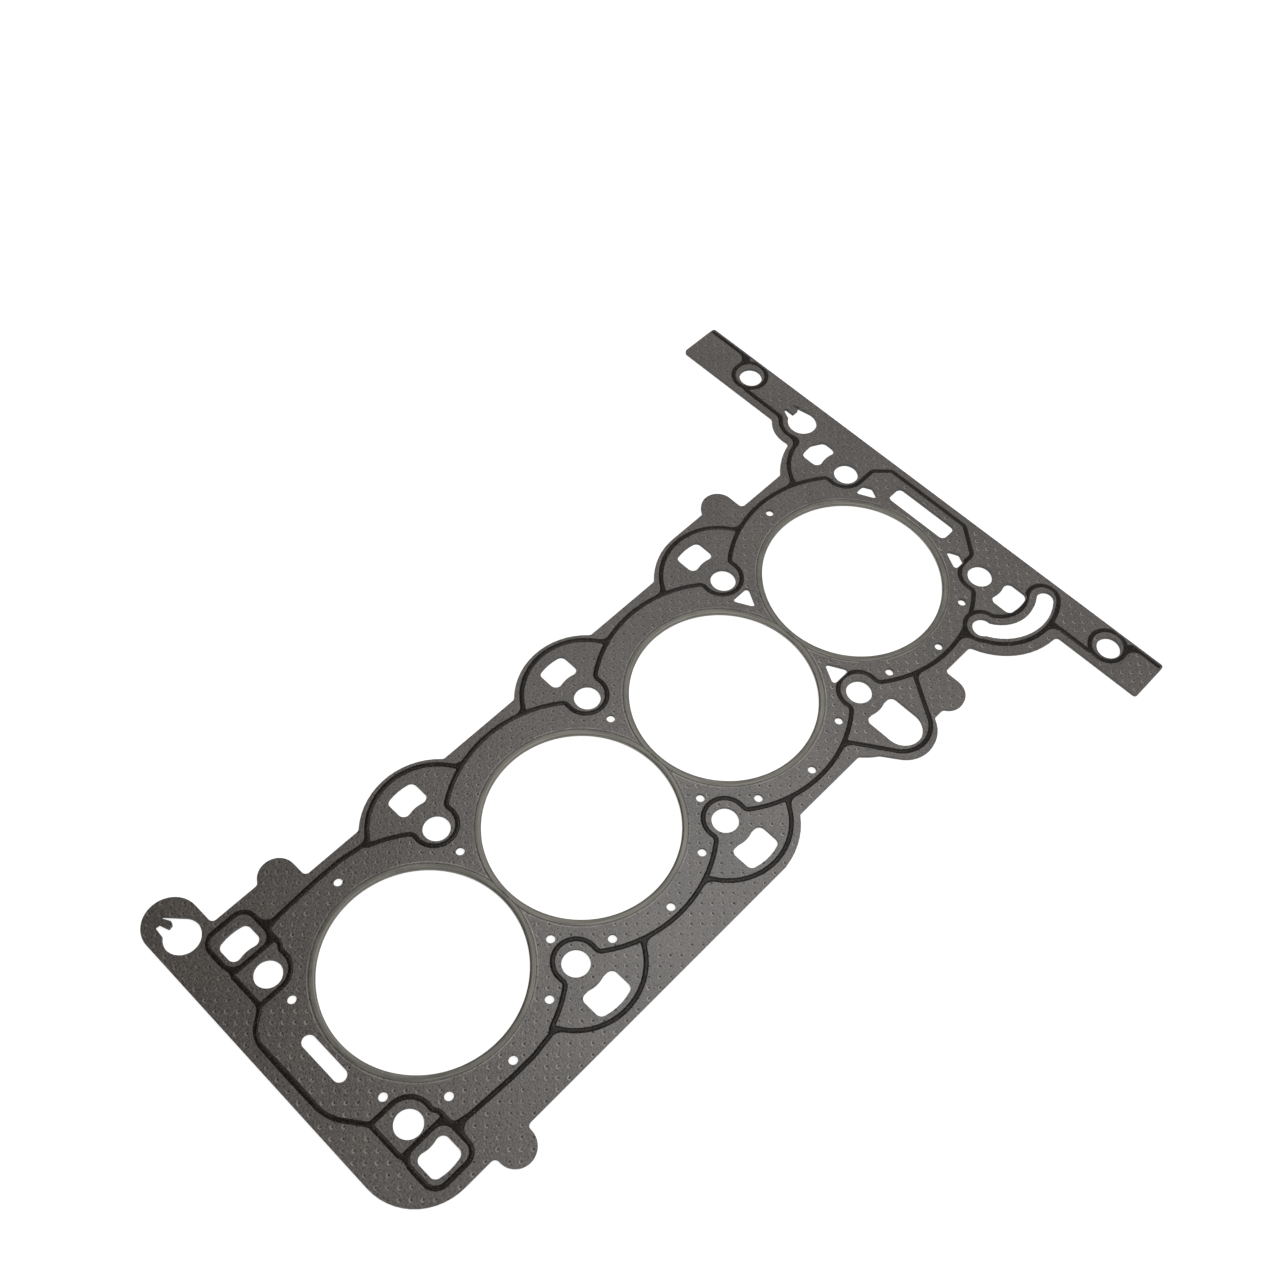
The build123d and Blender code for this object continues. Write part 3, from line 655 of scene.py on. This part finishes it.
def soften_bends(shape):
    """Turns two tight bends of a bead's outline into wide ones."""
    for corner, leg_a, leg_b, tight, wide in BENDS_MM:
        middle = Vector(corner) * MM
        inside = (Vector(leg_a) + Vector(leg_b)).normalized()
        half = math.acos(-Vector(leg_a).dot(Vector(leg_b))) / 2
        reach = wide * math.tan(half)
        tight_reach = tight * math.tan(half)
        most = 0.0
        for vert in shape.verts:
            away = (vert.co.xy - middle).length / MM
            along = math.sqrt(max(0.0, away ** 2 - BEAD_HALF_MM ** 2))
            if along < reach:
                gap = (reach - along) ** 2 / wide - max(0.0, tight_reach - along) ** 2 / tight
                move = gap / (2 * math.cos(half))
                vert.co.x += inside.x * move * MM
                vert.co.y += inside.y * move * MM
                most = max(most, move)
        print("bend at", corner, "mm: points moved up to", round(most, 2), "mm")


print("the run grows by", RUN_SWELL_MM, "mm on each side")

# %% Bead: domed from the strip's own outline
BEAD_STEPS_MM = ((0.06, 0.055), (0.85, 0.070))
BEAD_SIDE_MM = 0.005
BEAD_WELD_MM = 0.002
# Upward shares of the normal that tell the outer face, and what of the dome is smooth
OUTER_TILT = 0.9
SMOOTH_TILT = 0.3


def points_of(faces):
    """The points of some faces, each of them once."""
    return {vert for face in faces for vert in face.verts}


def domed_bead(node_name, side):
    """A copy of a bead whose outer face rises in steps; side is 1 above the sheet, -1 below."""
    mesh = nodes[node_name].data.copy()
    shape = bmesh.new()
    shape.from_mesh(mesh)
    bmesh.ops.remove_doubles(shape, verts=shape.verts, dist=BEAD_WELD_MM * MM)
    shape.normal_update()
    rest = [face for face in shape.faces if face.normal.z * side < OUTER_TILT]
    bmesh.ops.delete(shape, geom=rest, context="FACES")
    cut_outline(shape)
    swell_run(shape)
    soften_bends(shape)
    low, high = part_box(node_name)
    base = low.z if side > 0 else high.z
    for vert in shape.verts:
        vert.co.z = base
    grown = bmesh.ops.extrude_face_region(shape, geom=list(shape.faces),
                                          use_keep_orig=True)["geom"]
    top = [part for part in grown if isinstance(part, bmesh.types.BMFace)]
    for vert in points_of(top):
        vert.co.z = base + side * BEAD_SIDE_MM * MM
    for inward, rise in BEAD_STEPS_MM:
        bmesh.ops.inset_region(shape, faces=top, thickness=inward * MM, use_boundary=True)
        for vert in points_of(top):
            vert.co.z += side * rise * MM
    shape.normal_update()
    for face in shape.faces:
        face.smooth = face.normal.z * side > SMOOTH_TILT
    shape.to_mesh(mesh)
    shape.free()
    mesh.materials.clear()
    return mesh


beads = {}
for node_name, side in (("sealing_bead_head_side", 1), ("sealing_bead_deck_side", -1)):
    mesh = domed_bead(node_name, side)
    piece = bpy.data.objects.new("domed_" + node_name, mesh)
    bpy.context.scene.collection.objects.link(piece)
    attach(piece, "root")
    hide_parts(node_name)
    beads[node_name] = piece
    print(piece.name, len(mesh.polygons), "faces")

# %% [markdown]
# Cured silicone has a soft, dull sheen. A slow change in tone and a fine grain from the
# screen's mesh keep it from looking like paint, and specks of graphite dust from the facing
# stick to it. Real dust is finer than this: it is drawn coarse enough to show.

# %% Silicone: tone and dust
SILICONE_DARK = linear("0F0C0A")
SILICONE_LIGHT = linear("1C1713")
DUST_COLOUR = linear("5C564F")
FLOW_MM = 2.5
DUST_MM = 0.6
DUST_FROM = (0.56, 0.66)
DUST_MOST = 0.8
silicone, tree = start_material("cured_black_silicone")
mm = place_in_mm(tree)
flow = add(tree, "TexNoise", {"Vector": mm, "Scale": 1 / FLOW_MM, "Detail": 2.0})
tone = add(tree, "MapRange", {"Value": flow.outputs["Fac"], "From Min": NOISE_LOW,
                              "From Max": NOISE_HIGH})
colour = add(tree, "Mix", {0: tone.outputs["Result"], 6: SILICONE_DARK, 7: SILICONE_LIGHT},
             data_type="RGBA")
dust = add(tree, "TexNoise", {"Vector": mm, "Scale": 1 / DUST_MM, "Detail": 4.0,
                              "Roughness": 0.7})
dusty = add(tree, "MapRange", {"Value": dust.outputs["Fac"], "From Min": DUST_FROM[0],
                               "From Max": DUST_FROM[1], "To Min": 0.0,
                               "To Max": DUST_MOST})
colour = add(tree, "Mix", {0: dusty.outputs["Result"], 6: colour.outputs[2], 7: DUST_COLOUR},
             data_type="RGBA")
print("dust in specks of", DUST_MM, "mm")

# %% Silicone: gloss, grain and output
SILICONE_IOR = 1.41
SILICONE_SHEEN = 0.22
SILICONE_ROUGH = (0.27, 0.36)
MESH_GRAINS_PER_MM = 1.5
MESH_RELIEF_MM = 0.07
MESH_STRENGTH = 0.7
mesh_grain = add(tree, "TexNoise", {"Vector": mm, "Scale": MESH_GRAINS_PER_MM, "Detail": 3.0,
                                    "Roughness": 0.6})
rough = add(tree, "MapRange", {"Value": mesh_grain.outputs["Fac"], "From Min": NOISE_LOW,
                               "From Max": NOISE_HIGH, "To Min": SILICONE_ROUGH[0],
                               "To Max": SILICONE_ROUGH[1]})
bump = add(tree, "Bump", {"Height": mesh_grain.outputs["Fac"], "Strength": MESH_STRENGTH,
                          "Distance": MESH_RELIEF_MM * MM})
finish = add(tree, "BsdfPrincipled", {"Base Color": colour.outputs[2],
                                      "Roughness": rough.outputs["Result"],
                                      "IOR": SILICONE_IOR,
                                      "Specular IOR Level": SILICONE_SHEEN,
                                      "Normal": bump.outputs["Normal"]})
add(tree, "OutputMaterial", {"Surface": finish.outputs[0]})
for piece in beads.values():
    piece.data.materials.append(silicone)
print("silicone on", sorted(beads))

# %% [markdown]
# Each fire ring is one strip of thin stainless sheet, folded round the edge of the bore
# into a U. Its bend is round, its flanges lie flat on both faces of the gasket, and the
# free edge of each flange is pressed down a little into the facing. Where two cylinders
# meet, the flanges are trimmed straight, a hair apart. A section spun round the bore's
# axis gives all of that, and two flat cuts make the trimmed sides.

# %% Section of a fire ring
RING_SHEET_MM = 0.25
RING_BEND_MM = 0.42
RING_TURNS = 240
RING_BEND_TURNS = 7
RING_SHOULDER_MM = ((0.0, 0.20), (0.08, 0.10), (0.20, 0.035), (0.36, 0.0), (0.60, 0.010),
                    (0.90, 0.015))
RING_ROLL_MM = 1.3
ring_low, ring_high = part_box("fire_ring_1")
RING_HEIGHT_MM = (ring_high.z - ring_low.z) / MM
BORE_MM = bores[0]["dims"]["r_mm"]


def ring_section():
    """The U-shaped section as a closed line of points (radius, height), in millimetres."""
    top = RING_HEIGHT_MM
    flat = top - RING_SHOULDER_MM[-1][1]
    upper = [(FLANGE_MM, top - RING_SHEET_MM)]
    upper += [(FLANGE_MM - inward, top - drop) for inward, drop in RING_SHOULDER_MM]
    for step in range(RING_BEND_TURNS + 1):
        turn = math.pi / 2 * step / RING_BEND_TURNS
        upper.append((BORE_MM + RING_ROLL_MM * (1 - math.sin(turn)),
                      flat - RING_BEND_MM * (1 - math.cos(turn))))
    lower = [(radius, top - height) for radius, height in reversed(upper)]
    inside = [(BORE_MM + RING_SHEET_MM, RING_BEND_MM), (BORE_MM + RING_BEND_MM, RING_SHEET_MM)]
    inside_upper = [(radius, top - height) for radius, height in inside]
    return upper + lower + list(reversed(inside)) + inside_upper


print("ring section of", len(ring_section()), "points, flange to", round(FLANGE_MM, 2), "mm")

# %% Spinning and trimming the fire rings
RING_WELD_MM = 0.001
TRIM_MARGIN_MM = 0.3


def folded_ring(node_name, centre_x):
    """One fire ring about its own axis, trimmed flat where its solid is."""
    low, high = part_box(node_name)
    shape = bmesh.new()
    section = [shape.verts.new((radius * MM, 0, height * MM))
               for radius, height in ring_section()]
    edges = [shape.edges.new((section[i - 1], section[i])) for i in range(len(section))]
    bmesh.ops.spin(shape, geom=section + edges, cent=(0, 0, 0), axis=(0, 0, 1),
                   angle=math.tau, steps=RING_TURNS, use_merge=True)
    bmesh.ops.remove_doubles(shape, verts=shape.verts, dist=RING_WELD_MM * MM)
    for limit, outward in ((low.x - centre_x, -1), (high.x - centre_x, 1)):
        if abs(limit) < (FLANGE_MM - TRIM_MARGIN_MM) * MM:
            everything = list(shape.verts) + list(shape.edges) + list(shape.faces)
            bmesh.ops.bisect_plane(shape, geom=everything, plane_co=(limit, 0, 0),
                                   plane_no=(outward, 0, 0), clear_outer=True)
            open_edges = [edge for edge in shape.edges if edge.is_boundary]
            bmesh.ops.holes_fill(shape, edges=open_edges)
    bmesh.ops.recalc_face_normals(shape, faces=shape.faces)
    for face in shape.faces:
        face.smooth = len(face.verts) == 4
    mesh = bpy.data.meshes.new("folded_" + node_name)
    shape.to_mesh(mesh)
    shape.free()
    return mesh


rings = {}
for number, mount in enumerate(bores, start=1):
    node_name = f"fire_ring_{number}"
    centre_x = mount["pos_m"][0]
    piece = bpy.data.objects.new("folded_" + node_name, folded_ring(node_name, centre_x))
    piece.location.x = centre_x
    bpy.context.scene.collection.objects.link(piece)
    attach(piece, "root")
    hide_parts(node_name)
    rings[node_name] = piece
    print(piece.name, len(piece.data.polygons), "faces")

# %% [markdown]
# The steel is cold-rolled stainless with a dull, slightly olive skin, dusted with graphite
# from the facing, so it is hardly brighter than the sheet. Rolling and folding leave fine
# lines that run round the ring. Measuring the place in turns and radius, instead of along
# x and y, makes a noise pattern follow the ring.

# %% Ring steel: lines round the ring
ROLLED_LINE_MM = 0.4
steel, tree = start_material("dull_rolled_stainless_steel")
mm = place_in_mm(tree)
flat = add(tree, "VectorMath", {0: mm, 1: (1.0, 1.0, 0.0)}, operation="MULTIPLY")
radius = add(tree, "VectorMath", {0: flat.outputs[0]}, operation="LENGTH")
parts = add(tree, "SeparateXYZ", {0: mm})
turn = add(tree, "Math", {0: parts.outputs["Y"], 1: parts.outputs["X"]}, operation="ARCTAN2")
lines_at = add(tree, "CombineXYZ", {0: radius.outputs["Value"], 1: turn.outputs[0],
                                    2: parts.outputs["Z"]})
lines = add(tree, "TexNoise", {"Vector": lines_at.outputs[0], "Scale": 1 / ROLLED_LINE_MM,
                               "Detail": 2.0})
print("rolled lines", ROLLED_LINE_MM, "mm wide")

# %% Ring steel: colour, gloss and output
STEEL_DARK = linear("67655F")
STEEL_LIGHT = linear("7A7871")
SMEAR_MM = 4.0
STREAK_GAIN = (0.75, 1.25)
STEEL_ROUGH = (0.42, 0.54)
STREAK_RELIEF_MM = 0.02
STREAK_STRENGTH = 0.4
smear = add(tree, "TexNoise", {"Vector": mm, "Scale": 1 / SMEAR_MM, "Detail": 4.0,
                               "Roughness": 0.65})
tone = add(tree, "MapRange", {"Value": smear.outputs["Fac"], "From Min": NOISE_LOW,
                              "From Max": NOISE_HIGH})
colour = add(tree, "Mix", {0: tone.outputs["Result"], 6: STEEL_DARK, 7: STEEL_LIGHT},
             data_type="RGBA")
streak = add(tree, "MapRange", {"Value": lines.outputs["Fac"], "From Min": NOISE_LOW,
                                "From Max": NOISE_HIGH, "To Min": STREAK_GAIN[0],
                                "To Max": STREAK_GAIN[1]})
colour = times(tree, colour.outputs[2], streak.outputs["Result"])
rough = add(tree, "MapRange", {"Value": smear.outputs["Fac"], "From Min": NOISE_LOW,
                               "From Max": NOISE_HIGH, "To Min": STEEL_ROUGH[0],
                               "To Max": STEEL_ROUGH[1]})
bump = add(tree, "Bump", {"Height": lines.outputs["Fac"], "Strength": STREAK_STRENGTH,
                          "Distance": STREAK_RELIEF_MM * MM})
finish = add(tree, "BsdfPrincipled", {"Base Color": colour.outputs[2], "Metallic": 1.0,
                                      "Roughness": rough.outputs["Result"],
                                      "Normal": bump.outputs["Normal"]})
add(tree, "OutputMaterial", {"Surface": finish.outputs[0]})
for piece in rings.values():
    piece.data.materials.append(steel)
print("steel on", sorted(rings))
